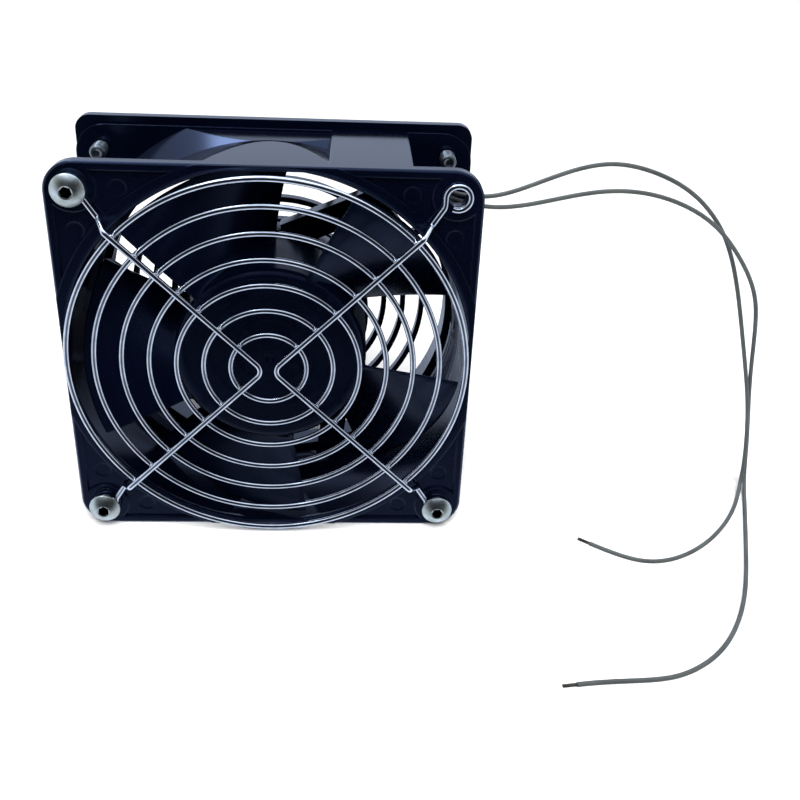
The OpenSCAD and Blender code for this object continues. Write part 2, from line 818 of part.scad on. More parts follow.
module impeller() {
    color("#161a26") stand() {
        hub();
        for (k = [0:blade_count - 1]) rotate(blade_start + k * 360 / blade_count) blade();
    }
}

insert_flange = 2.2;
insert_flange_t = 1;
cup_recess = 0.8;
cage_over = 1.5;

module hub_insert() {
    flange_d0 = cup_front + cup_t;
    color("#c2a24e") stand() {
        ring(insert_r, shaft_r + fit_gap, cup_front, insert_end);
        ring(insert_r + insert_flange, insert_r - sink, flange_d0, flange_d0 + insert_flange_t);
    }
}

module rotor_cup() {
    cup_end = hub_front + hub_l - cup_recess;
    color("#8d9196") stand() {
        ring(cup_or, cup_or - cup_t, cup_front, cup_end);
        ring(cup_or - cup_t / 2, insert_r + fit_gap, cup_front, cup_front + cup_t);
    }
}

module rotor_cage() {
    color("#a7abae") stand() ring(cage_or, cage_or - cage_t, stack_front - cage_over, stack_rear + cage_over);
}

module shaft() {
    color("#c9ccd0") stand() rotate_extrude() polygon([
        [0, -cup_front], [shaft_r, -cup_front], [shaft_r, -clip_d0], [groove_r, -clip_d0],
        [groove_r, -clip_d0 - clip_t - fit_gap], [shaft_r, -clip_d0 - clip_t - fit_gap],
        [shaft_r, -shaft_end], [0, -shaft_end]]);
}

module front_thrust_washer() {
    color("#d8d2bd") stand() ring(washer_r, shaft_r + fit_gap, insert_end, insert_end + washer_t);
}

module rear_thrust_washer() {
    color("#d8d2bd") stand()
        ring(washer_r, shaft_r + fit_gap, rear_washer_d0, rear_washer_d0 + washer_t - fit_gap);
}

module retaining_clip() {
    color("#5b5f66") stand() behind(clip_d0 + fit_gap / 2, clip_t) difference() {
        circle(washer_r);
        circle(groove_r + fit_gap);
        translate([0, -groove_r]) square([tube_ir, 2 * groove_r]);
    }
}

housing();
rear_grille();
guard_rings();
guard_support_left();
guard_support_right();
front_screws();
front_nuts();
rear_screws();
lead_grommet();
lead_a();
lead_b();
lead_tips();
bearing_tube();
front_bush();
rear_bush();
oil_felt();
stator_core();
stator_insulators();
stator_coils();
shading_rings();
impeller();
hub_insert();
rotor_cup();
rotor_cage();
shaft();
front_thrust_washer();
rear_thrust_washer();
retaining_clip();
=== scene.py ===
import math

import bmesh
import bpy
from mathutils import Matrix, Vector


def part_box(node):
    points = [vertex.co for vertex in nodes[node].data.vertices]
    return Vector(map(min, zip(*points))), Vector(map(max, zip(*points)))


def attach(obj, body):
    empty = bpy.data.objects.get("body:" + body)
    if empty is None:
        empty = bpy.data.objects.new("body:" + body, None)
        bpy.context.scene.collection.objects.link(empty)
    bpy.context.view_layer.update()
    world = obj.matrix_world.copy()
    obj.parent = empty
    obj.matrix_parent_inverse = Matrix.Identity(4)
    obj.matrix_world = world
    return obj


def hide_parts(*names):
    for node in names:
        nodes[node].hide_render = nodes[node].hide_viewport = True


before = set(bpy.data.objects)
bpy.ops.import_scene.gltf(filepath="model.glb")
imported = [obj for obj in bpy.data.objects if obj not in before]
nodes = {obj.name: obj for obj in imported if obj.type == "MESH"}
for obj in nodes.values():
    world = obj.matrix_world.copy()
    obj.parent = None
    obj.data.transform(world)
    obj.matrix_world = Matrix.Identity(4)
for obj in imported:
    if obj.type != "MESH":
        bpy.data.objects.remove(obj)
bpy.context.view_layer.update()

mm = 0.001
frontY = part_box("housing")[0].y  # plane of the front flange face
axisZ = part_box("housing")[1].z / 2  # height of the fan's axis


def place(x, y, depth):
    # front view in mm (right, up, behind the front face) to the shared frame
    return Vector((x * mm, frontY + depth * mm, axisZ + y * mm))


def fullTurn(count):
    # angles of points spread evenly round a circle
    return [2 * math.pi * k / count for k in range(count)]


def addObject(name, data):
    thing = bpy.data.objects.new(name, data)
    bpy.context.scene.collection.objects.link(thing)
    return thing


def setInputs(tree, node, inputs):
    # an input is a value, a socket to link, or a node whose first output is linked
    for key, value in inputs.items():
        if isinstance(value, bpy.types.Node):
            value = value.outputs[0]
        if isinstance(value, bpy.types.NodeSocket):
            tree.links.new(value, node.inputs[key])
        else:
            node.inputs[key].default_value = value


def addNode(tree, kind, inputs=None, **settings):
    node = tree.nodes.new(kind)
    for name, value in settings.items():
        setattr(node, name, value)
    setInputs(tree, node, inputs or {})
    return node


# Camera, matched to the photograph's edges and holes
cameraLook = {
    "position": (22.09, -250.8, 201.02),  # mm, depth counted from the front face
    "yaw": 3.63,
    "pitch": 26.71,
    "roll": 2.66,
    "pictureSide": 800,  # pixels
    "focalPixels": 965.7,
    "centreRow": 320,  # where the camera's axis meets the picture
    "sensor": 36,
    "clipStart": 0.01,
}


def addCamera():
    look = cameraLook
    yaw, pitch, roll = (math.radians(look[key]) for key in ("yaw", "pitch", "roll"))
    ahead = Vector((math.sin(yaw) * math.cos(pitch), math.cos(yaw) * math.cos(pitch), -math.sin(pitch)))
    level = Vector((math.cos(yaw), -math.sin(yaw), 0))
    upright = level.cross(ahead)
    right = math.cos(roll) * level + math.sin(roll) * upright
    up = math.cos(roll) * upright - math.sin(roll) * level
    side = look["pictureSide"]
    data = bpy.data.cameras.new("photoCamera")
    data.sensor_width = look["sensor"]
    data.lens = look["focalPixels"] / side * look["sensor"]
    data.shift_y = (look["centreRow"] - side / 2) / side
    data.clip_start = look["clipStart"]
    camera = addObject("photoCamera", data)
    x, depth, z = look["position"]
    spot = Vector((x * mm, frontY + depth * mm, z * mm))
    camera.matrix_world = Matrix.Translation(spot) @ Matrix((right, up, -ahead)).transposed().to_4x4()
    bpy.context.scene.camera = camera


addCamera()
print("camera placed")


# Materials
noiseSpan = {1: 0.3, 2: 0.7}  # where most of a noise's values lie, as a range's From inputs
waveTurn = 20  # radians per unit of a wave texture at scale 1


def linearColour(code):
    # sRGB hex to linear RGBA
    parts = [int(code[i:i + 2], 16) / 255 for i in (1, 3, 5)]
    return tuple(c / 12.92 if c <= 0.04045 else ((c + 0.055) / 1.055) ** 2.4 for c in parts) + (1,)


def newMaterial(name):
    material = bpy.data.materials.new(name)
    material.use_nodes = True
    tree = material.node_tree
    spot = addNode(tree, "ShaderNodeTexCoord").outputs["Object"]
    return material, tree, tree.nodes["Principled BSDF"], spot


def perMm(size):
    # texture scale at which one feature is this many mm across
    return 1 / (size * mm)


def patches(tree, spot, size, detail, dark, pale):
    # noise in patches of this many mm, and the colour that drifts between two tones with it
    noise = addNode(tree, "ShaderNodeTexNoise", {"Vector": spot, "Scale": perMm(size), "Detail": detail})
    share = addNode(tree, "ShaderNodeMapRange", {0: noise, **noiseSpan})
    tones = addNode(tree, "ShaderNodeMix", {0: share, 6: linearColour(dark), 7: linearColour(pale)},
                    data_type="RGBA")
    return noise, tones.outputs[2]


def grain(tree, spot, size, detail, rough, strength, depth):
    # fine noise that moves the roughness between two values and stands out by a part of a mm
    noise = addNode(tree, "ShaderNodeTexNoise", {"Vector": spot, "Scale": perMm(size), "Detail": detail})
    haze = addNode(tree, "ShaderNodeMapRange", {0: noise, **noiseSpan, 3: rough[0], 4: rough[1]})
    relief = addNode(tree, "ShaderNodeBump", {"Strength": strength, "Distance": depth * mm, "Height": noise})
    return haze, relief


plasticLook = {
    "flow": 26,  # mm across a flow mark
    "flowHaze": 0.06,  # roughness that flow marks add
    "dust": 0.9,
    "dustSpan": (0.56, 0.78),  # noise where dust starts and is full
    "dustHaze": 0.03,
    "ripple": 1.6,
    "rippleDepth": 0.05,
    "rippleStrength": 0.02,
    "ior": 1.53,
    "tint": "#b4cdff",  # its gloss looks navy blue
}


def glossyPlastic(name, dark, pale, roughness, edge, gloss):
    # moulded ABS: polished tool finish, faint flow marks, fine handling dust, softened arrises
    look = plasticLook
    material, tree, shader, spot = newMaterial(name)
    flow, colour = patches(tree, spot, look["flow"], 3, dark, pale)
    flowHaze = addNode(tree, "ShaderNodeMapRange", {0: flow, **noiseSpan, 3: roughness,
                                                    4: roughness + look["flowHaze"]})
    dust = addNode(tree, "ShaderNodeTexNoise", {"Vector": spot, "Scale": perMm(look["dust"]), "Detail": 4})
    dustHaze = addNode(tree, "ShaderNodeMapRange", {0: dust, 1: look["dustSpan"][0], 2: look["dustSpan"][1],
                                                    4: look["dustHaze"]})
    haze = addNode(tree, "ShaderNodeMath", {0: flowHaze, 1: dustHaze}, operation="ADD")
    skin = addNode(tree, "ShaderNodeTexNoise", {"Vector": spot, "Scale": perMm(look["ripple"]), "Detail": 2})
    soft = addNode(tree, "ShaderNodeBevel", {"Radius": edge * mm}, samples=6)
    relief = addNode(tree, "ShaderNodeBump", {"Strength": look["rippleStrength"], "Height": skin,
                                             "Distance": look["rippleDepth"] * mm, "Normal": soft})
    setInputs(tree, shader, {"Base Color": colour, "Roughness": haze, "Normal": relief, "IOR": look["ior"],
                             "Specular IOR Level": gloss, "Specular Tint": linearColour(look["tint"])})
    return material


def chromeWire():
    # bright nickel-chrome plate on drawn wire: mirror with faint drawing streaks and pits
    material, tree, shader, spot = newMaterial("chrome-plated drawn wire")
    wave, colour = patches(tree, spot, 3.5, 2, "#cfd3d8", "#f2f3f4")
    pits = addNode(tree, "ShaderNodeTexNoise", {"Vector": spot, "Scale": perMm(0.5), "Detail": 3})
    haze = addNode(tree, "ShaderNodeMapRange", {0: pits, **noiseSpan, 3: 0.05, 4: 0.075})
    relief = addNode(tree, "ShaderNodeBump", {"Strength": 0.01, "Distance": 0.05 * mm, "Height": wave})
    setInputs(tree, shader, {"Base Color": colour, "Roughness": haze, "Normal": relief, "Metallic": 1})
    return material


def metal(name, dark, pale, rough, size, streak=1):
    # plain metals: colour drift over a few mm, and a grain that may be drawn out along Y
    material, tree, shader, spot = newMaterial(name)
    drawn = addNode(tree, "ShaderNodeMapping", {"Vector": spot, "Scale": (1, 1 / streak, 1)})
    _, colour = patches(tree, spot, 4, 3, dark, pale)
    haze, relief = grain(tree, drawn, size, 4, rough, 0.12, 0.04)
    setInputs(tree, shader, {"Base Color": colour, "Roughness": haze, "Normal": relief, "Metallic": 1})
    return material


def platedSteel(name, dark, pale, rough):
    # zinc plate on turned steel: satin and faintly mottled, with painted shade: black where the mesh marks a
    # recess (socket, thread roots, hollow tip)
    material, tree, shader, spot = newMaterial(name)
    _, clean = patches(tree, spot, 3, 4, dark, pale)
    # painted shade: the screws' recesses are mixed towards near black
    paintedShade = addNode(tree, "ShaderNodeAttribute", attribute_name="paintedShade").outputs["Fac"]
    paintedShadeColour = addNode(tree, "ShaderNodeMix", {0: paintedShade, 6: clean, 7: linearColour("#08090a")},
                     data_type="RGBA")
    haze, relief = grain(tree, spot, 0.35, 3, rough, 0.1, 0.04)
    setInputs(tree, shader, {"Base Color": paintedShadeColour.outputs[2], "Roughness": haze, "Normal": relief,
                             "Metallic": 1})
    return material


def dullPolymer(name, dark, pale, rough, size, depth):
    # rubber, nylon, PVC and felt: soft sheen, slight mottling, fine surface grain
    material, tree, shader, spot = newMaterial(name)
    _, colour = patches(tree, spot, 7, 4, dark, pale)
    haze, relief = grain(tree, spot, size, 3, rough, 0.3, depth)
    setInputs(tree, shader, {"Base Color": colour, "Roughness": haze, "Normal": relief})
    return material


def laminatedSteel():
    # stack of punched sheets: bands across it, drawn 3 mm apart, coarser than real sheets, so that they show
    material, tree, shader, spot = newMaterial("laminated electrical steel")
    sheet = addNode(tree, "ShaderNodeTexWave", {"Vector": spot, "Scale": perMm(0.5) / waveTurn,
                                                "Distortion": 0.2}, bands_direction="Y").outputs[1]
    tones = addNode(tree, "ShaderNodeMix", {0: sheet, 6: linearColour("#4d4f52"), 7: linearColour("#83868a")},
                    data_type="RGBA")
    haze = addNode(tree, "ShaderNodeMapRange", {0: sheet, 3: 0.35, 4: 0.5})
    relief = addNode(tree, "ShaderNodeBump", {"Strength": 0.5, "Distance": 0.1 * mm, "Height": sheet})
    setInputs(tree, shader, {"Base Color": tones.outputs[2], "Roughness": haze, "Normal": relief,
                             "Metallic": 1})
    return material


def woundCopper():
    # enamelled wire in turns: rings round the motor's axis, drawn 4 mm apart so that they show, under a coat
    material, tree, shader, spot = newMaterial("enamelled copper winding")
    centred = addNode(tree, "ShaderNodeMapping", {"Vector": spot, "Location": (0, 0, -axisZ)})
    turns = addNode(tree, "ShaderNodeTexWave", {"Vector": centred, "Scale": perMm(0.6) / waveTurn},
                    wave_type="RINGS", rings_direction="Y").outputs[1]
    tones = addNode(tree, "ShaderNodeMix", {0: turns, 6: linearColour("#6b3413"), 7: linearColour("#b5682c")},
                    data_type="RGBA")
    relief = addNode(tree, "ShaderNodeBump", {"Strength": 0.6, "Distance": 0.2 * mm, "Height": turns})
    setInputs(tree, shader, {"Base Color": tones.outputs[2], "Roughness": 0.28, "Normal": relief,
                             "Metallic": 1, "Coat Weight": 0.6})
    return material


finishes = {
    "frameAbs": glossyPlastic("polished black ABS", "#01030d", "#030514", 0.14, 0.6, 0.45),
    "grilleAbs": glossyPlastic("satin black ABS", "#01030d", "#030514", 0.2, 0.35, 0.45),
    "impellerPbt": glossyPlastic("moulded blue-black PBT", "#01030e", "#030615", 0.2, 0.3, 0.25),
    "chrome": chromeWire(),
    "zincScrew": platedSteel("zinc-plated screw steel", "#b2b4a2", "#dde2dc", (0.28, 0.42)),
    # a darker copy of the screw zinc: painted shade on the rear screws, whose ends sit between the flanges
    "shadowedZinc": platedSteel("zinc with painted shade on rear screw ends", "#7d8281", "#9fa4a2", (0.32, 0.46)),
    "zincNut": platedSteel("zinc-plated nut steel", "#85898b", "#aeb3b4", (0.36, 0.5)),
    "rubber": dullPolymer("black grommet rubber", "#141518", "#222428", (0.49, 0.63), 0.4, 0.05),
    "pvc": dullPolymer("grey PVC insulation", "#3b3e3d", "#4b4f4d", (0.36, 0.5), 0.5, 0.03),
    "strand": metal("tinned copper strand", "#3f392f", "#6d6353", (0.3, 0.5), 0.3),
    "brass": metal("turned brass", "#a88a45", "#c9ab62", (0.2, 0.34), 0.3),
    "bronze": metal("sintered oil-soaked bronze", "#7a5228", "#a57438", (0.42, 0.6), 0.25),
    "felt": dullPolymer("oiled wool felt", "#b9ab8c", "#d6cbb0", (0.84, 0.98), 0.3, 0.3),
    "laminations": laminatedSteel(),
    "nylon": dullPolymer("natural nylon", "#ddd6c2", "#eee8d8", (0.34, 0.48), 0.6, 0.03),
    "winding": woundCopper(),
    "copper": metal("bare copper", "#a4582f", "#cf8456", (0.2, 0.36), 0.3),
    "drawnSteel": metal("drawn steel cup", "#7c8084", "#a3a7aa", (0.28, 0.42), 0.5, 8),
    "castAluminium": metal("cage of cast aluminium and steel", "#8d9194", "#b3b6b8", (0.36, 0.5), 0.6),
    "groundSteel": metal("ground shaft steel", "#b9bcc0", "#dadcde", (0.12, 0.22), 0.2),
    "springSteel": metal("blackened spring steel", "#2f3236", "#4a4e53", (0.3, 0.45), 0.3),
}
nodeFinish = {
    "housing": "frameAbs", "rear_grille": "grilleAbs", "impeller": "impellerPbt",
    "guard_rings": "chrome", "guard_support_left": "chrome", "guard_support_right": "chrome",
    "front_screws": "zincScrew", "rear_screws": "shadowedZinc", "front_nuts": "zincNut",
    "lead_grommet": "rubber", "lead_a": "pvc", "lead_b": "pvc", "lead_tips": "strand",
    "bearing_tube": "brass", "front_bush": "bronze", "rear_bush": "bronze", "oil_felt": "felt",
    "stator_core": "laminations", "stator_insulators": "nylon", "stator_coils": "winding",
    "shading_rings": "copper", "hub_insert": "brass", "rotor_cup": "drawnSteel",
    "rotor_cage": "castAluminium", "shaft": "groundSteel", "front_thrust_washer": "nylon",
    "rear_thrust_washer": "nylon", "retaining_clip": "springSteel",
}
for nodeName, finish in nodeFinish.items():
    mesh = nodes[nodeName].data
    mesh.materials.clear()
    mesh.materials.append(finishes[finish])
print("materials set on", len(nodeFinish), "nodes")


# Small makers for the pieces
def setPiece(piece, body, node):
    # rides on a body, and stands for a node if one is given
    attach(piece, body)
    if node:
        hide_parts(node)


def newPiece(name, mesh, finish, body, node, crease):
    # piece shaded smooth up to the crease angle
    mesh.shade_smooth()
    mesh.set_sharp_from_angle(angle=math.radians(crease))
    mesh.materials.clear()
    mesh.materials.append(finishes[finish])
    setPiece(addObject(name, mesh), body, node)


def newTube(name, paths, radius, bevel, finish, node):
    # round wire of the frame along each path
    data = bpy.data.curves.new(name, "CURVE")
    data.dimensions = "3D"
    data.bevel_depth = radius
    data.bevel_resolution = bevel
    data.use_fill_caps = True
    for path in paths:
        spline = data.splines.new("POLY")
        spline.points.add(len(path) - 1)
        for point, spot in zip(spline.points, path):
            point.co = (*spot, 1)
    data.materials.append(finishes[finish])
    tube = addObject(name, data)
    setPiece(tube, "frame", node)
    return tube


def meshOf(name, points, faces):
    mesh = bpy.data.meshes.new(name)
    mesh.from_pydata(points, [], faces)
    return mesh


def finishedMesh(name, work):
    # plain mesh from a bmesh that is done with
    mesh = bpy.data.meshes.new(name)
    work.to_mesh(mesh)
    work.free()
    return mesh


def ringFaces(rings, around, closed=False):
    # quads between rings of as many points each; a closed row also joins the last ring to the first
    total = rings * around
    faces = []
    for i in range(rings if closed else rings - 1):
        for k in range(around):
            a, b = i * around + k, i * around + (k + 1) % around
            faces.append((a, b, (b + around) % total, (a + around) % total))
    return faces


def endFaces(total, around):
    # faces on the first and the last ring
    return [tuple(range(around)), tuple(range(total - 1, total - around - 1, -1))]


def newTree(name, sockets):
    # empty node tree with a geometry input and output and the named inputs
    tree = bpy.data.node_groups.new(name, "GeometryNodeTree")
    tree.interface.new_socket("Geometry", in_out="INPUT", socket_type="NodeSocketGeometry")
    for label, kind in sockets.items():
        tree.interface.new_socket(label, in_out="INPUT", socket_type="NodeSocket" + kind)
    tree.interface.new_socket("Geometry", in_out="OUTPUT", socket_type="NodeSocketGeometry")
    return tree, addNode(tree, "NodeGroupInput").outputs


def closeTree(tree, geometry, material):
    real = addNode(tree, "GeometryNodeRealizeInstances", {0: geometry})
    dressed = addNode(tree, "GeometryNodeSetMaterial", {0: real, "Material": material})
    addNode(tree, "NodeGroupOutput", {0: dressed})


def grow(name, mesh, tree, values):
    # runs a node tree on a mesh and returns the plain mesh that it makes
    carrier = addObject(name, mesh)
    modifier = carrier.modifiers.new(name, "NODES")
    modifier.node_group = tree
    sockets = {item.name: item.identifier for item in tree.interface.items_tree if item.in_out == "INPUT"}
    for label, value in values.items():
        modifier[sockets[label]] = value
    bpy.context.view_layer.update()
    grown = bpy.data.meshes.new_from_object(carrier.evaluated_get(bpy.context.evaluated_depsgraph_get()))
    bpy.data.objects.remove(carrier)
    return grown


# Leads, along the same points as their solids: X, depth behind the front face, Z; without Z, on the floor
leadLook = {
    "diameter": 1.3,
    "bevel": 4,
    "steps": 6,
    "relaxing": 60,  # passes that even out the curve, as the limp lead does by itself
    "shortRoute": [
        (44, 9, 111.4), (49, 9, 111.4), (55, 8, 110.4), (61, 6.5, 109.8), (67, 6, 111.6), (74, 6, 114.7),
        (81, 7, 117.5), (88, 8, 119.8), (94, 8, 121), (99, 9, 120.8), (106, 9, 119.8), (114, 10, 116.5),
        (121, 11, 113), (127, 12, 107.8), (132, 13, 102), (135, 13, 97.8), (138.5, 13, 90.8), (142, 13, 81.2),
        (145.5, 14, 70.5), (150.5, 16, 54.5), (155, 17, 41.8), (158, 19, 30), (160.5, 21, 18), (162, 22, 10),
        (162, 22, 4.5), (160.7, 19, 1.4), (158.8, 14.5), (155, 7.5), (148, -2.3), (140, -9.8), (133, -14.8),
        (126, -18), (120, -19), (115, -18.2), (110.5, -15.9), (105.7, -13), (101.5, -9.8)],
    "longRoute": [
        (44, 9, 109.8), (49, 9, 109.8), (55, 8, 108.3), (61, 6.5, 107.1), (67, 6, 107.6), (74, 6, 108.7),
        (81, 6, 110.7), (88.5, 6, 112.6), (95, 6, 113.7), (101, 7, 113.4), (108, 7, 113.1), (115, 7, 111),
        (123, 8, 107.8), (130.5, 8, 102.8), (135, 9, 97.4), (140.5, 10, 91), (144.5, 10, 85),
        (147.5, 10, 78.5), (149.5, 12, 71.5), (151.5, 14, 61.5), (154, 17, 49), (157, 20, 37),
        (160.5, 22.5, 25), (163, 24.5, 13), (164, 25, 5.5), (163.5, 22, 1.6), (162, 17), (158.4, 6),
        (154.5, -4.5), (151, -15), (147, -26), (143.5, -34.5), (139, -43), (133.5, -51), (128, -57),
        (121.5, -61.3), (116, -64), (111.5, -65.4), (105, -66), (98, -66), (91, -66.4), (85.5, -67.2)],
}
leadRadius = leadLook["diameter"] / 2 * mm


def smoothRoute(route):
    # Catmull-Rom curve through the points, evened out behind its straight exit
    steps = leadLook["steps"]
    points = [Vector((x * mm, frontY + depth * mm, z[0] * mm if z else leadRadius)) for x, depth, *z in route]
    padded = [2 * points[0] - points[1]] + points + [2 * points[-1] - points[-2]]
    path = []
    for i in range(len(points) - 1):
        a, b, c, d = padded[i:i + 4]
        for k in range(steps):
            t = k / steps
            path.append(0.5 * (2 * b + (c - a) * t + (2 * a - 5 * b + 4 * c - d) * t ** 2
                               + (3 * b - a - 3 * c + d) * t ** 3))
    path.append(points[-1])
    straight = 2 * steps
    for _ in range(leadLook["relaxing"]):
        path[straight:-1] = [(path[i - 1] + 2 * path[i] + path[i + 1]) / 4
                             for i in range(straight, len(path) - 1)]
    return [Vector((p.x, p.y, max(p.z, leadRadius))) for p in path]


def addLead(name, node, route):
    path = smoothRoute(route)
    lead = newTube(name, [path], leadRadius, leadLook["bevel"], "pvc", node)
    length = sum((b - a).length for a, b in zip(path, path[1:]))
    print(name, round(length * 1000), "mm long")
    return lead, path, length


shortLead, shortPath, shortLength = addLead("shortLead", "lead_a", leadLook["shortRoute"])
longLead, longPath, longLength = addLead("longLead", "lead_b", leadLook["longRoute"])


# Moulded frame and rear grille: the CAD solids with their round walls shaded smooth
mouldingLook = {
    "weld": 0.002,  # corners closer than this are one
    "crease": 24,
    "square": 0.9995,  # faces that look straight along an axis stay flat
}


def smoothCopy(name, node, finish):
    look = mouldingLook
    work = bmesh.new()
    work.from_mesh(nodes[node].data)
    bmesh.ops.remove_doubles(work, verts=work.verts, dist=look["weld"] * mm)
    mesh = finishedMesh(name, work)
    newPiece(name, mesh, finish, "frame", node, look["crease"])
    for face in mesh.polygons:
        face.use_smooth = max(abs(part) for part in face.normal) < look["square"]


# Rounded lip round the mouth of the duct
lipLook = {
    "line": [(63, 0.15), (62.9, -0.01), (62, -0.05), (61, -0.07), (60, -0.03), (59.5, 0.2), (59.15, 0.7),
             (59.15, 1.5), (60.2, 3), (61.6, 3)],  # closed section as radius and depth
    "edge": 59.9,  # the lip narrows to stay inside the flange's sides
    "segments": 240,
    "crease": 40,
}


def addMouthLip():
    look = lipLook
    inner, outer = min(r for r, _ in look["line"]), max(r for r, _ in look["line"])
    points = []
    for a in fullTurn(look["segments"]):
        c, s = math.cos(a), math.sin(a)
        share = min(1, (look["edge"] / max(abs(c), abs(s)) - inner) / (outer - inner))
        for r, depth in look["line"]:
            r = inner + (r - inner) * share
            points.append(place(r * c, r * s, depth if depth > 0 else depth * share))
    mesh = meshOf("mouthLip", points, ringFaces(look["segments"], len(look["line"]), closed=True))
    newPiece("mouthLip", mesh, "frameAbs", "frame", None, look["crease"])


# Cone that widens the duct's outside towards the rear flange, cut flat near the frame's sides
flareLook = {
    "line": [(58.2, 26.4), (65.3, 36.6), (58.2, 36.6)],  # closed section as radius and depth
    "flat": (59.4, 36.4),  # distance from the axis at the depth of the rear flange
    "tilt": 4,  # degrees by which the flats lean in towards the front
    "segments": 240,
    "crease": 24,
}


def addRearFlare():
    look = flareLook
    points = [place(r * math.cos(a), r * math.sin(a), depth) for a in fullTurn(look["segments"])
              for r, depth in look["line"]]
    work = bmesh.new()
    work.from_mesh(meshOf("fullCone", points, ringFaces(look["segments"], len(look["line"]), closed=True)))
    reach, depth = look["flat"]
    lean = -math.tan(math.radians(look["tilt"]))
    for x, y in ((1, 0), (-1, 0), (0, 1), (0, -1)):
        cut = bmesh.ops.bisect_plane(work, geom=work.verts[:] + work.edges[:] + work.faces[:],
                                     plane_co=place(x * reach, y * reach, depth), plane_no=(x, lean, y),
                                     clear_outer=True)
        rim = [part for part in cut["geom_cut"] if isinstance(part, bmesh.types.BMEdge)]
        bmesh.ops.contextual_create(work, geom=rim)
    bmesh.ops.recalc_face_normals(work, faces=work.faces)
    newPiece("rearFlare", finishedMesh("rearFlare", work), "frameAbs", "frame", None,
             look["crease"])


smoothCopy("frameMoulding", "housing", "frameAbs")
smoothCopy("rearGrillePlate", "rear_grille", "grilleAbs")
addMouthLip()
addRearFlare()
print("frame and grille shaded")

# Finger guard: seven rings of drawn wire, spot-welded to two bent supports
guardLook = {
    "wireRadius": 0.85,
    "outerRadius": 57.8,
    "pitch": 7.8,
    "rings": 7,
    "ringSteps": 144,
    "wireSides": 24,
    "stand": 4,  # ring plane in front of the front face
    "weldGap": 0.05,
    "apex": 2.4,  # from the axis to the middle of a support's bend
    "bendRadius": 3,
    "bendStep": 9,  # degrees
    "loopRadius": 3.45,
    "loopSpan": (-115, 180),
    "loopSteps": 28,
    "neck": 2.6,
    "kinkOut": 0.8,
    "kinkRun": 3.6,
    "softness": 1.3,  # length that a kink's rounding takes up on each side
    "softRoom": 2.2,  # shorter runs, in softnesses, are rounded as a whole
    "softPasses": 3,
    "bevel": 10,
    "bead": (0.95, 0.6, 0.95),  # half sizes of a weld bead
    "seam": (0.9, 0.35),  # radius and length of the flash at a ring's butt weld
    "seed": 4,
    "crease": 50,
}
supportStand = guardLook["stand"] + 2 * guardLook["wireRadius"] + guardLook["weldGap"]
holeXy = 52.5  # corner holes, from the axis each way
slant = math.sqrt(0.5)  # the supports' arms run at 45 degrees


def armStart():
    bend = guardLook["bendRadius"]
    return Vector((guardLook["apex"] + bend * (1 - slant), bend * slant))


def guardRingTree():
    tree, given = newTree("weldedRingGuard", {
        "Outer Radius": "Float", "Pitch": "Float", "Rings": "Int", "Wire Radius": "Float", "Bead": "Vector",
        "Seam Radius": "Float", "Seam Length": "Float", "Seed": "Int", "Material": "Material"})
    centres = addNode(tree, "GeometryNodePoints", {"Count": given["Rings"]})
    index = addNode(tree, "GeometryNodeInputIndex")
    inward = addNode(tree, "ShaderNodeMath", {0: index, 1: given["Pitch"]}, operation="MULTIPLY")
    radius = addNode(tree, "ShaderNodeMath", {0: given["Outer Radius"], 1: inward}, operation="SUBTRACT")
    circle = addNode(tree, "GeometryNodeCurvePrimitiveCircle", {
        "Resolution": guardLook["ringSteps"], "Radius": 1})
    hoops = addNode(tree, "GeometryNodeInstanceOnPoints", {
        "Points": centres, "Instance": circle, "Rotation": (math.pi / 2, 0, 0), "Scale": radius})
    paths = addNode(tree, "GeometryNodeRealizeInstances", {0: hoops})
    section = addNode(tree, "GeometryNodeCurvePrimitiveCircle", {
        "Resolution": guardLook["wireSides"], "Radius": given["Wire Radius"]})
    wires = addNode(tree, "GeometryNodeCurveToMesh", {"Curve": paths, "Profile Curve": section})
    # butt-weld flash, at a random place on each ring
    turn = addNode(tree, "FunctionNodeRandomValue", {2: 0, 3: 2 * math.pi, "Seed": given["Seed"]}).outputs[1]
    spot = addNode(tree, "ShaderNodeCombineXYZ")
    for axis, part in (("X", "COSINE"), ("Z", "SINE")):
        share = addNode(tree, "ShaderNodeMath", {0: turn}, operation=part)
        across = addNode(tree, "ShaderNodeMath", {0: radius, 1: share}, operation="MULTIPLY")
        setInputs(tree, spot, {axis: across})
    joints = addNode(tree, "GeometryNodeSetPosition", {"Geometry": centres, "Position": spot})
    back = addNode(tree, "ShaderNodeMath", {0: turn, 1: -1}, operation="MULTIPLY")
    lie = addNode(tree, "ShaderNodeCombineXYZ", {"Y": back})
    collar = addNode(tree, "GeometryNodeMeshCylinder", {
        "Vertices": 16, "Radius": given["Seam Radius"], "Depth": given["Seam Length"]})
    flash = addNode(tree, "GeometryNodeInstanceOnPoints", {
        "Points": joints, "Instance": collar, "Rotation": lie})
    # weld beads at the given points
    drop = addNode(tree, "GeometryNodeMeshUVSphere", {"Segments": 14, "Rings": 8, "Radius": 1})
    beads = addNode(tree, "GeometryNodeInstanceOnPoints", {
        "Points": given["Geometry"], "Instance": drop, "Scale": given["Bead"]})
    whole = addNode(tree, "GeometryNodeJoinGeometry")
    for part in (beads, flash, wires):
        setInputs(tree, whole, {0: part})
    closeTree(tree, whole, given["Material"])
    return tree


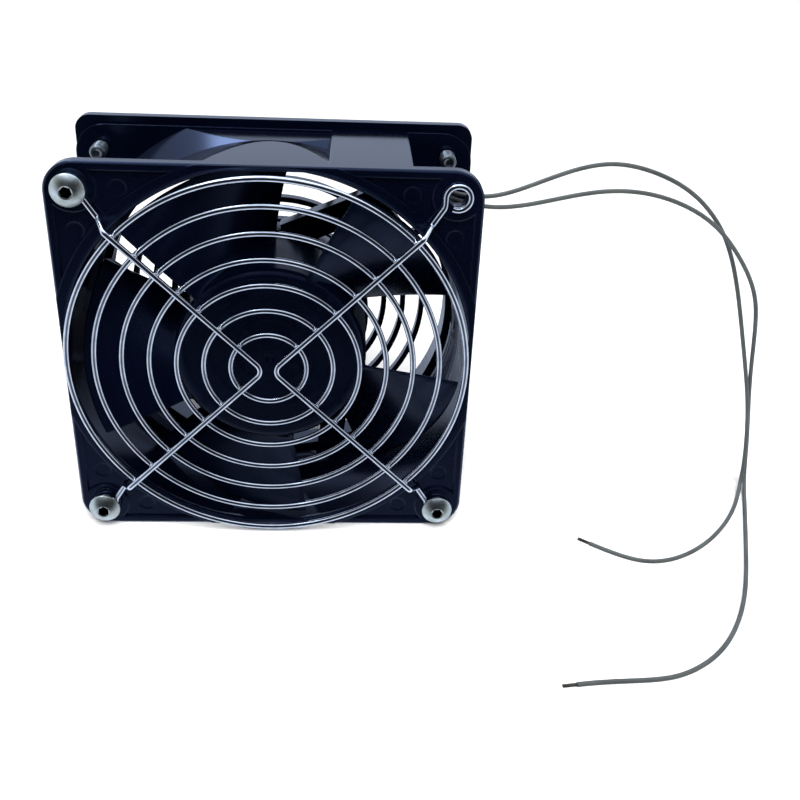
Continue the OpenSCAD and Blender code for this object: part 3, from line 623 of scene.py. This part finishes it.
def addGuardRings():
    look = guardLook
    start = armStart()
    contact = -(look["wireRadius"] + look["weldGap"] / 2) * mm
    crossings = []
    for i in range(look["rings"]):
        ring = look["outerRadius"] - i * look["pitch"]
        half = (start.x + start.y) * slant
        reach = math.sqrt(ring ** 2 - start.length_squared + half ** 2) - half
        x, z = start.x + reach * slant, start.y + reach * slant
        crossings += [(sx * x * mm, contact, sz * z * mm) for sx in (-1, 1) for sz in (-1, 1)]
    mesh = grow("guardRings", meshOf("weldSpots", crossings, []), guardRingTree(), {
        "Outer Radius": look["outerRadius"] * mm, "Pitch": look["pitch"] * mm, "Rings": look["rings"],
        "Wire Radius": look["wireRadius"] * mm, "Bead": [size * mm for size in look["bead"]],
        "Seam Radius": look["seam"][0] * mm, "Seam Length": look["seam"][1] * mm, "Seed": look["seed"],
        "Material": finishes["chrome"]})
    mesh.transform(Matrix.Translation(place(0, 0, -look["stand"])))
    newPiece("guardRings", mesh, "chrome", "frame", "guard_rings", look["crease"])


def softBends(points):
    # corners are rounded by cutting them again and again, over a short length on each side
    reach = guardLook["softness"]
    path = []
    for a, b in zip(points, points[1:]):
        path.append(a)
        if (b - a).length > guardLook["softRoom"] * reach:
            step = (b - a).normalized() * reach
            path += [a + step, b - step]
    path.append(points[-1])
    for _ in range(guardLook["softPasses"]):
        cut = [path[0]]
        for a, b in zip(path, path[1:]):
            cut += [a.lerp(b, 0.25), a.lerp(b, 0.75)]
        path = cut + [path[-1]]
    return path


def supportPath():
    # X, Z and height in front of the front face: hook loop, kink, arm, bend, and the same mirrored below
    look = guardLook
    start, loop, bend = armStart(), look["loopRadius"], look["bendRadius"]
    low = look["wireRadius"] + look["weldGap"]
    far = look["outerRadius"] + 2 * look["wireRadius"] + look["kinkOut"] - start.length
    high = Vector((start.x + far * slant, start.y + far * slant, supportStand))
    step = look["kinkRun"] * slant
    first, last = look["loopSpan"]
    upper = []
    for i in range(look["loopSteps"] + 1):
        a = math.radians(first + (last - first) * i / look["loopSteps"])
        upper.append(Vector((holeXy + loop * math.cos(a), holeXy + loop * math.sin(a), low)))
    upper += [Vector((holeXy - loop, holeXy - look["neck"], low)),
              Vector((high.x + step, high.y + step, low)), high]
    centre = look["apex"] + bend
    for degrees in range(135, 181, look["bendStep"]):
        a = math.radians(degrees)
        upper.append(Vector((centre + bend * math.cos(a), bend * math.sin(a), supportStand)))
    lower = [Vector((p.x, -p.y, p.z)) for p in upper[-2::-1]]
    return softBends(upper + lower)


def addGuardSupport(name, node, side):
    path = [place(side * p.x, p.y, -p.z) for p in supportPath()]
    newTube(name, [path], guardLook["wireRadius"] * mm, guardLook["bevel"], "chrome", node)


addGuardRings()
addGuardSupport("guardSupportLeft", "guard_support_left", -1)
addGuardSupport("guardSupportRight", "guard_support_right", 1)
print("guard built")

# Fan rotor: one twisted blade, repeated round a moulded hub
rotorLook = {
    "blades": 5,
    "startAngle": 66.2,
    "rootRadius": 27.4,
    "tipRadius": 55.4,
    "tipFlare": 1.8,  # the tips reach further at the front, where the duct is wider
    "flarePower": 3,  # how late along the blade that starts
    "frontEdge": 3,  # depth at the hub
    "rake": 0.6,
    "length": 24.2,
    "taper": 3.7,
    "sweep": 47.8,
    "spread": 3.4,
    "lean": -2.1,
    "camber": 2.2,
    "thickness": 2,
    "edge": 0.4,  # share of the thickness that the edges keep
    "fillet": 1.8,
    "filletSwell": 0.9,  # share of the thickness that the fillet adds
    "acrossSteps": 26,
    "alongSteps": 22,
    "alongPower": 1.35,  # steps are closer together in the fillet
    "noseSteps": 3,
    "hubRadius": 28.5,
    "hubFace": 1.5,
    "hubRear": 27.5,
    "hubRound": 3,
    "hubEase": 0.3,  # chamfer at the rear
    "hubWall": 2.2,
    "dimple": [(0, 0.7), (0.84, 0.7), (1.2, 0.35), (1.35, 0)],  # radius and depth below the face
    "hubRings": 6,
    "hubSegments": 180,
    "crease": 35,
}


def bladeOutline(r):
    # closed section of a blade at one radius, as angle in radians and depth in mm
    look = rotorLook
    u = (r - look["rootRadius"]) / (look["tipRadius"] - look["rootRadius"])
    turn = r * math.radians(look["sweep"] + look["spread"] * u)
    length = look["length"] - look["taper"] * u
    swell = max(0, 1 - (r - look["hubRadius"]) / look["fillet"])

    def spot(v, side, ahead):
        rise = length - look["camber"] * math.pi * math.cos(math.pi * v)
        size = math.hypot(rise, turn)
        thick = look["thickness"] / 2 * (look["edge"] + (1 - look["edge"]) * math.sin(math.pi * v))
        thick *= 1 + look["filletSwell"] * swell ** 2
        across = (rise * side + turn * ahead) / size * thick
        depth = look["frontEdge"] - look["rake"] * u + length * v - look["camber"] * math.sin(math.pi * v)
        depth += (turn * side - rise * ahead) / size * thick
        return math.radians(look["lean"] * u) - turn * v / r + across / r, depth

    steps, nose = look["acrossSteps"], look["noseSteps"]
    bend = [math.pi * (i + 1) / (nose + 1) for i in range(nose)]
    near = [spot(i / steps, -1, 0) for i in range(steps + 1)]
    rear = [spot(1, -math.cos(a), -math.sin(a)) for a in bend]
    far = [spot(1 - i / steps, 1, 0) for i in range(steps + 1)]
    front = [spot(0, math.cos(a), math.sin(a)) for a in bend]
    return near + rear + far + front


def bladeMesh():
    look = rotorLook
    steps = look["alongSteps"]
    span = look["tipRadius"] - look["rootRadius"]
    points = []
    for j in range(steps + 1):
        r = look["rootRadius"] + span * (j / steps) ** look["alongPower"]
        for a, depth in bladeOutline(r):
            front = max(0, 1 - (depth - look["frontEdge"]) / look["length"])
            reach = r + look["tipFlare"] * front * ((r - look["rootRadius"]) / span) ** look["flarePower"]
            points.append((reach * math.cos(a) * mm, depth * mm, reach * math.sin(a) * mm))
    around = len(points) // (steps + 1)
    return meshOf("blade", points, ringFaces(steps + 1, around) + endFaces(len(points), around))


def bladeRowTree():
    tree, given = newTree("bladeRow", {"Blades": "Int", "Start Angle": "Float", "Material": "Material"})
    centres = addNode(tree, "GeometryNodePoints", {"Count": given["Blades"]})
    index = addNode(tree, "GeometryNodeInputIndex")
    share = addNode(tree, "ShaderNodeMath", {0: index, 1: given["Blades"]}, operation="DIVIDE")
    turn = addNode(tree, "ShaderNodeMath", {0: share, 1: -2 * math.pi, 2: given["Start Angle"]},
                   operation="MULTIPLY_ADD")
    lie = addNode(tree, "ShaderNodeCombineXYZ", {"Y": turn})
    row = addNode(tree, "GeometryNodeInstanceOnPoints", {
        "Points": centres, "Instance": given["Geometry"], "Rotation": lie})
    closeTree(tree, row, given["Material"])
    return tree


def hubOutline():
    # half section of the hub as radius and depth, from the dimple round the outside and back inside
    look = rotorLook
    face, rear, outer, bend = (look[key] for key in ("hubFace", "hubRear", "hubRadius", "hubRound"))
    ease, inner, inside = look["hubEase"], outer - look["hubWall"], face + look["hubWall"]
    line = [(r, face + drop) for r, drop in look["dimple"]]
    line += [((outer - bend) * k / look["hubRings"], face) for k in range(1, look["hubRings"])]
    for degrees in range(0, 91, 9):
        a = math.radians(degrees)
        line.append((outer - bend + bend * math.sin(a), face + bend * (1 - math.cos(a))))
    return line + [(outer, rear - ease), (outer - ease, rear), (inner, rear), (inner, inside), (0, inside)]


def lathe(name, line, segments):
    # turns a half section round the depth axis; the first and last points lie on the axis
    points = [(0, line[0][1] * mm, 0), (0, line[-1][1] * mm, 0)]
    for r, depth in line[1:-1]:
        points += [(r * mm * math.cos(a), depth * mm, r * mm * math.sin(a)) for a in fullTurn(segments)]
    rings = len(line) - 2
    faces = [tuple(i + 2 for i in face) for face in ringFaces(rings, segments)]
    last = 2 + (rings - 1) * segments
    for k in range(segments):
        faces += [(0, 2 + (k + 1) % segments, 2 + k), (1, last + k, last + (k + 1) % segments)]
    return meshOf(name, points, faces)


def addRotor():
    look = rotorLook
    row = grow("blades", bladeMesh(), bladeRowTree(), {
        "Blades": look["blades"], "Start Angle": -math.radians(look["startAngle"]),
        "Material": finishes["impellerPbt"]})
    work = bmesh.new()
    for mesh in (row, lathe("hub", hubOutline(), look["hubSegments"])):
        work.from_mesh(mesh)
    bmesh.ops.recalc_face_normals(work, faces=work.faces)
    rotor = finishedMesh("fanRotor", work)
    rotor.transform(Matrix.Translation(place(0, 0, 0)))
    newPiece("fanRotor", rotor, "impellerPbt", "rotor", "impeller", look["crease"])


addRotor()
print("rotor built")

# Screws and nuts, one of each kind set at the corners
fastenerLook = {
    "around": 48,
    "headRadius": 4.8,
    "headHeight": 2.7,
    "headEdge": 0.6,
    "edgeRound": 0.15,
    "domeSpan": (0.05, 0.2),  # the dome's rings keep this far from its rims
    "domeSteps": 8,
    "socketFlats": 3,
    "socketDepth": 2.2,
    "socketDip": 0.15,  # drill point in its floor
    "socketRim": 1.9,  # radius of the chamfer round the socket
    "rimDrop": 0.2,  # depth of that chamfer
    "rimRound": 0.06,
    "threadRadius": 2.45,
    "threadRoot": 2.02,
    "threadPitch": 0.8,
    "threadForm": (2.4, 0.12),  # slope of the flanks, and where they leave the root
    "threadRows": 8,  # rings to a turn
    "neck": (0.3, 0.2),  # plain width and length under the head
    "tipRadius": 1.75,
    "cup": (1.35, 0.7425, 0.36),  # hollow tip: radius, and radius and depth of its floor
    "frontLength": 12,
    "rearLength": 10,
    "headPlane": 1.8,  # front heads' seats in front of the front face
    "rearPlane": 41,  # rear heads' seats behind it
    "nutFlats": 8,
    "nutThickness": 4,
    "nutPlane": 3.5,
    "nutBore": 2.48,
    "nutSink": 0.4,
    "nutCone": (0.05, 1.73),  # the cone starts inside the flats and opens at this slope
    "nutLevels": [0, 0.12, 0.25, 0.4, 0.7],  # rings from each end
    # painted shade in each recess of a screw, from none to full black
    "recessShades": {"socket": 1, "rim": 0.1, "root": 0.75, "cup": 0.6},
    "twist": 60,
    "seed": 7,
    "crease": 28,
}
allCorners = [(-1, 1), (1, 1), (-1, -1), (1, -1)]
screwedCorners = [(-1, 1), (-1, -1), (1, -1)]


def hexReach(flats, angle):
    # distance from the middle to a hexagon's side, with corners at multiples of 60 degrees
    return flats / 2 / math.cos(angle % (math.pi / 3) - math.pi / 6)


def turnedPoints(rings, angles):
    # rings of radius and height, set round the z axis
    return [(r * math.cos(a) * mm, r * math.sin(a) * mm, z * mm) for ring in rings
            for (r, z), a in zip(ring, angles)]


def screwMesh(length):
    # rings from the socket's bottom over the dome and down the thread; z = 0 under the head
    look, recessShades = fastenerLook, fastenerLook["recessShades"]
    around = look["around"]
    angles = fullTurn(around)
    top, radius, rim = look["headHeight"], look["headRadius"], look["socketRim"]
    edge, soft = look["edgeRound"], look["rimRound"]
    rise = top - look["headEdge"]
    dome = (radius ** 2 + rise ** 2) / (2 * rise)
    rings, paintedShade = [], []  # each point as radius and height, and how much painted shade it takes

    def addRing(ring, recessShade):
        rings.append(ring)
        paintedShade.extend([recessShade] * around)

    def addRound(r, z, recessShade=0):
        addRing([(r, z)] * around, recessShade)

    def domeHeight(r):
        return top - dome + math.sqrt(dome ** 2 - r ** 2)

    floor, foot = top - look["socketDepth"], domeHeight(rim) - look["rimDrop"]
    for share, z, recessShade in ((0.5, floor - look["socketDip"], "socket"), (1, floor, "socket"),
                           (1, foot, "socket"), (1.02, foot + 0.02, "rim")):
        addRing([(share * hexReach(look["socketFlats"], a), z) for a in angles], recessShades[recessShade])
    addRound(rim - soft, domeHeight(rim) - soft, recessShades["rim"])
    inner, outer = rim + look["domeSpan"][0], radius - look["domeSpan"][1]
    for i in range(look["domeSteps"] + 1):
        r = inner + (outer - inner) * i / look["domeSteps"]
        addRound(r, domeHeight(r))
    neckWidth, neckLength = look["neck"]
    pitch, root, crest = look["threadPitch"], look["threadRoot"], look["threadRadius"]
    for r, z in ((radius - soft, domeHeight(radius) + soft), (radius, look["headEdge"] - edge),
                 (radius, edge), (radius - edge, 0), (crest + neckWidth, 0)):
        addRound(r, z)
    slope, flat = look["threadForm"]
    rows = round((length - neckLength) / pitch * look["threadRows"])
    for i in range(rows + 1):
        z = -neckLength - (length - neckLength) * i / rows
        line = []
        for a in angles:
            share = (z / pitch - a / (2 * math.pi)) % 1
            crown = min(1, max(0, slope * (0.5 - abs(share - 0.5)) - flat))
            line.append((min(root + (crest - root) * crown, look["tipRadius"] + (z + length)), z))
            # painted shade deepens towards the thread roots
            paintedShade.append(recessShades["root"] * (1 - crown))
        rings.append(line)
    mouth, hollow, depth = look["cup"]
    addRound(mouth, -length)
    addRound(hollow, -length + depth, recessShades["cup"])
    points = turnedPoints(rings, angles)
    faces = [tuple(reversed(face)) for face in ringFaces(len(rings), around)]
    mesh = meshOf("buttonScrew", points, faces + endFaces(len(points), around))
    # the painted shade goes on the points, for the material to read
    mesh.attributes.new("paintedShade", "FLOAT", "POINT").data.foreach_set("value", paintedShade)
    return mesh


def nutMesh():
    # hexagon whose corners are cut back by a cone at both ends, with a countersunk bore
    look = fastenerLook
    around = look["around"]
    angles = fullTurn(around)
    height, flats, bore, sink = (look[key] for key in ("nutThickness", "nutFlats", "nutBore", "nutSink"))
    inset, slope = look["nutCone"]
    rings = [[(bore, sink)] * around, [(bore + sink, 0)] * around]
    for z in look["nutLevels"] + [height - level for level in reversed(look["nutLevels"])]:
        cone = flats / 2 - inset + min(z, height - z) * slope
        rings.append([(min(hexReach(flats, a), cone), z) for a in angles])
    rings += [[(bore + sink, height)] * around, [(bore, height - sink)] * around]
    return meshOf("chamferedNut", turnedPoints(rings, angles), ringFaces(len(rings), around, closed=True))


def cornerTree():
    tree, given = newTree("cornerFasteners", {"Fastener": "Object", "Facing": "Vector", "Seed": "Int",
                                              "Twist": "Float", "Material": "Material"})
    pattern = addNode(tree, "GeometryNodeObjectInfo", {"Object": given["Fastener"], "As Instance": True})
    row = addNode(tree, "GeometryNodeInstanceOnPoints", {
        "Points": given["Geometry"], "Instance": pattern.outputs["Geometry"], "Rotation": given["Facing"]})
    turn = addNode(tree, "FunctionNodeRandomValue", {2: 0, 3: given["Twist"], "Seed": given["Seed"]})
    twist = addNode(tree, "ShaderNodeCombineXYZ", {"Z": turn.outputs[1]})
    turned = addNode(tree, "GeometryNodeRotateInstances", {"Instances": row, "Rotation": twist})
    closeTree(tree, turned, given["Material"])
    return tree


cornerRow = cornerTree()


def addFasteners(name, pattern, corners, depth, facing, finish, node):
    # facing is the turn about X that points the pattern's z axis forward or back
    look = fastenerLook
    sample = addObject(name + "Sample", pattern)
    spots = [place(sx * holeXy, sy * holeXy, depth) for sx, sy in corners]
    mesh = grow(name, meshOf(name, spots, []), cornerRow, {
        "Fastener": sample, "Facing": (math.radians(facing), 0, 0), "Seed": look["seed"],
        "Twist": math.radians(look["twist"]), "Material": finishes[finish]})
    bpy.data.objects.remove(sample)
    newPiece(name, mesh, finish, "frame", node, look["crease"])


addFasteners("frontScrews", screwMesh(fastenerLook["frontLength"]), screwedCorners,
             -fastenerLook["headPlane"], 90, "zincScrew", "front_screws")
addFasteners("rearScrews", screwMesh(fastenerLook["rearLength"]), allCorners,
             fastenerLook["rearPlane"], -90, "shadowedZinc", "rear_screws")
addFasteners("frontNuts", nutMesh(), screwedCorners,
             fastenerLook["nutPlane"], -90, "zincNut", "front_nuts")
print("screws and nuts set")


# Stripped ends: a core and strands twisted round it
tipLook = {
    "length": 4,
    "strandRadius": 0.17,
    "ringRadius": 0.3,
    "outerStrands": 6,
    "turns": 0.8,
    "steps": 14,
    "bevel": 2,
}


def addLeadTips():
    look = tipLook
    strands = []
    for path in (shortPath, longPath):
        end, ahead = path[-1], (path[-1] - path[-2]).normalized()
        side = ahead.cross(Vector((0, 0, 1))).normalized()
        up = side.cross(ahead)
        for strand in range(look["outerStrands"] + 1):
            ring = look["ringRadius"] * mm * (strand > 0)
            line = []
            for i in range(look["steps"] + 1):
                share = i / look["steps"]
                turn = 2 * math.pi * (strand / look["outerStrands"] + look["turns"] * share)
                outward = math.cos(turn) * side + math.sin(turn) * up
                line.append(end + ahead * (look["length"] * mm * share) + ring * outward)
            strands.append(line)
    return newTube("strippedTips", strands, look["strandRadius"] * mm, look["bevel"], "strand", "lead_tips")


leadTips = addLeadTips()
print("stripped ends twisted")


# Floor and light
stageLook = {
    "floorSize": 6,
    "backdropRadius": 1.25,
    "backdrop": "#fefefe",
    "paper": ("#f3f3f3", "#f8f8f8"),
    "skyTint": "#cfdcf4",
    "skyPale": 1.3,  # strength of the pale room all round
    "skyDark": 0.02,  # strength of its dark parts, which the plastic mirrors
    # parts of the room: the way to the middle, and the cosines where it starts and is full
    "darkWays": [((0.05, -0.94, 0.34), 0.08, 0.77),  # wall in front
                 ((0.35, 0.8, -0.48), 0.8, 0.97)],  # low corner behind
    "lamps": [((0, 0, 1), 0.6, 0.95, 1.4),  # ceiling panel, and the strength that it adds
              ((-0.36, 0.08, 0.93), 0.975, 0.995, 14)],  # bare lamp near it
    "softboxes": {
        "keySoftbox": {"spot": (0.05, -1.2, 2), "target": (0, 0, 0), "size": (1.6, 1.6), "watts": 110},
        "backSoftbox": {"spot": (0.3, 1.6, 1.2), "target": (0.3, 1.3, 0), "size": (0.8, 0.8), "watts": 10},
    },
}


def addFloor():
    # matte white paper: even, with a faint grain
    edge = stageLook["floorSize"] / 2
    mesh = meshOf("floor", [(-edge, -edge, 0), (edge, -edge, 0), (edge, edge, 0), (-edge, edge, 0)],
                  [(0, 1, 2, 3)])
    material, tree, shader, spot = newMaterial("matte white paper")
    fibres = addNode(tree, "ShaderNodeTexNoise", {"Vector": spot, "Scale": perMm(2), "Detail": 2})
    dark, pale = (linearColour(code) for code in stageLook["paper"])
    tones = addNode(tree, "ShaderNodeMix", {0: fibres, 6: dark, 7: pale}, data_type="RGBA")
    setInputs(tree, shader, {"Base Color": tones.outputs[2], "Roughness": 0.9})
    mesh.materials.append(material)
    floor = addObject("floor", mesh)
    floor.visible_glossy = False  # the photograph's ground doesn't mirror in the plastic


def addBackdrop():
    # white cove round the stage, seen by the camera alone
    work = bmesh.new()
    bmesh.ops.create_uvsphere(work, u_segments=48, v_segments=24, radius=stageLook["backdropRadius"])
    mesh = finishedMesh("backdrop", work)
    material, tree, shader, _ = newMaterial("white studio cove")
    setInputs(tree, shader, {"Emission Color": linearColour(stageLook["backdrop"]), "Emission Strength": 1,
                             "Base Color": linearColour("#000000")})
    mesh.materials.append(material)
    backdrop = addObject("backdrop", mesh)
    for ray in ("diffuse", "glossy", "transmission", "volume_scatter", "shadow"):
        setattr(backdrop, "visible_" + ray, False)


def addSky():
    world = bpy.data.worlds.new("studio")
    world.use_nodes = True
    tree = world.node_tree
    way = addNode(tree, "ShaderNodeTexCoord").outputs["Generated"]

    def towards(middle, start, full, low, high):
        # runs from low to high as a direction nears the middle
        near = addNode(tree, "ShaderNodeVectorMath", {0: way, 1: middle}, operation="DOT_PRODUCT")
        return addNode(tree, "ShaderNodeMapRange", {
            0: near.outputs["Value"], 1: start, 2: full, 3: low, 4: high}, interpolation_type="SMOOTHSTEP")

    walls = [towards(*wall, 1, 0) for wall in stageLook["darkWays"]]
    share = addNode(tree, "ShaderNodeMath", {0: walls[0], 1: walls[1]}, operation="MULTIPLY")
    strength = addNode(tree, "ShaderNodeMapRange", {0: share, 3: stageLook["skyDark"],
                                                    4: stageLook["skyPale"]})
    for middle, start, full, power in stageLook["lamps"]:
        glow = towards(middle, start, full, 0, power)
        strength = addNode(tree, "ShaderNodeMath", {0: strength, 1: glow}, operation="ADD")
    setInputs(tree, tree.nodes["Background"], {0: linearColour(stageLook["skyTint"]), 1: strength})
    bpy.context.scene.world = world
    world.cycles_visibility.diffuse = False  # the room only mirrors in the surfaces; the softboxes light them


def addSoftbox(name, spot, target, size, watts):
    data = bpy.data.lights.new(name, "AREA")
    data.shape = "RECTANGLE"
    data.size, data.size_y = size
    data.energy = watts
    light = addObject(name, data)
    aim = (Vector(target) - Vector(spot)).to_track_quat("-Z", "Y")
    light.matrix_world = Matrix.Translation(spot) @ aim.to_matrix().to_4x4()
    light.visible_camera = False
    light.visible_glossy = False


addFloor()
addBackdrop()
addSky()
for boxName, box in stageLook["softboxes"].items():
    addSoftbox(boxName, **box)
bpy.context.scene.view_settings.view_transform = "Standard"
print("floor and light set")
